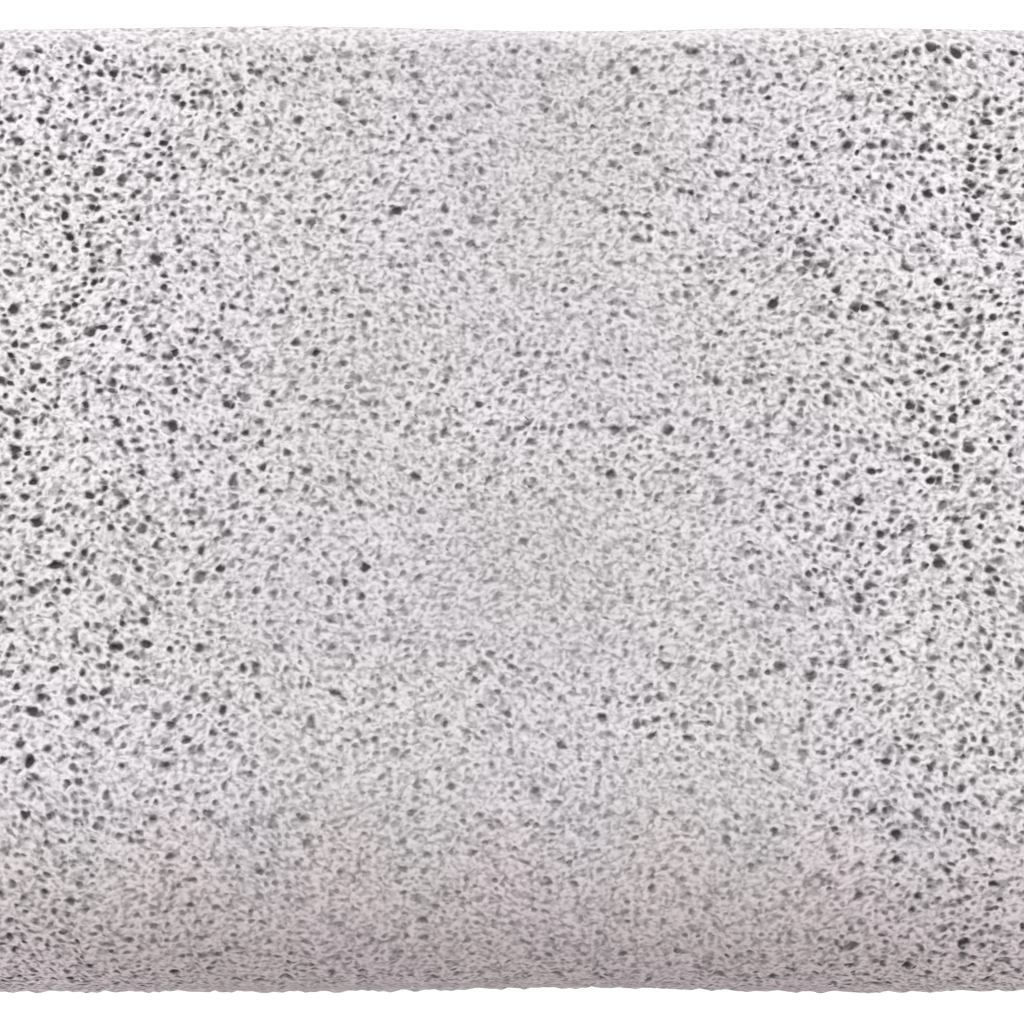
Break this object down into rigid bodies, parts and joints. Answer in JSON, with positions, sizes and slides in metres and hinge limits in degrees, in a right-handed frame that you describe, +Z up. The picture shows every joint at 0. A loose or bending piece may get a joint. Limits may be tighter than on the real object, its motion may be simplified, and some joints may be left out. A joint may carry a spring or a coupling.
{
  "type": "pumice stone",
  "caption": "Hand-sized rubbing block of pale grey pumice with open pores, one long top edge worn round and the other crisp; it lies on its flat underside.",
  "frame": {"origin": "middle of the flat underside that the stone rests on", "axes": "+X along the block, +Y across it from the worn round edge to the crisp edge, +Z up through its thickness"},
  "size_m": [0.1006, 0.0726, 0.0343],
  "materials": {
    "pumice": "matt, pale grey volcanic foam, open pores that darken inwards"
  },
  "bodies": {
    "root": {"pumice_stone": "pumice"}
  },
  "joints": []
}
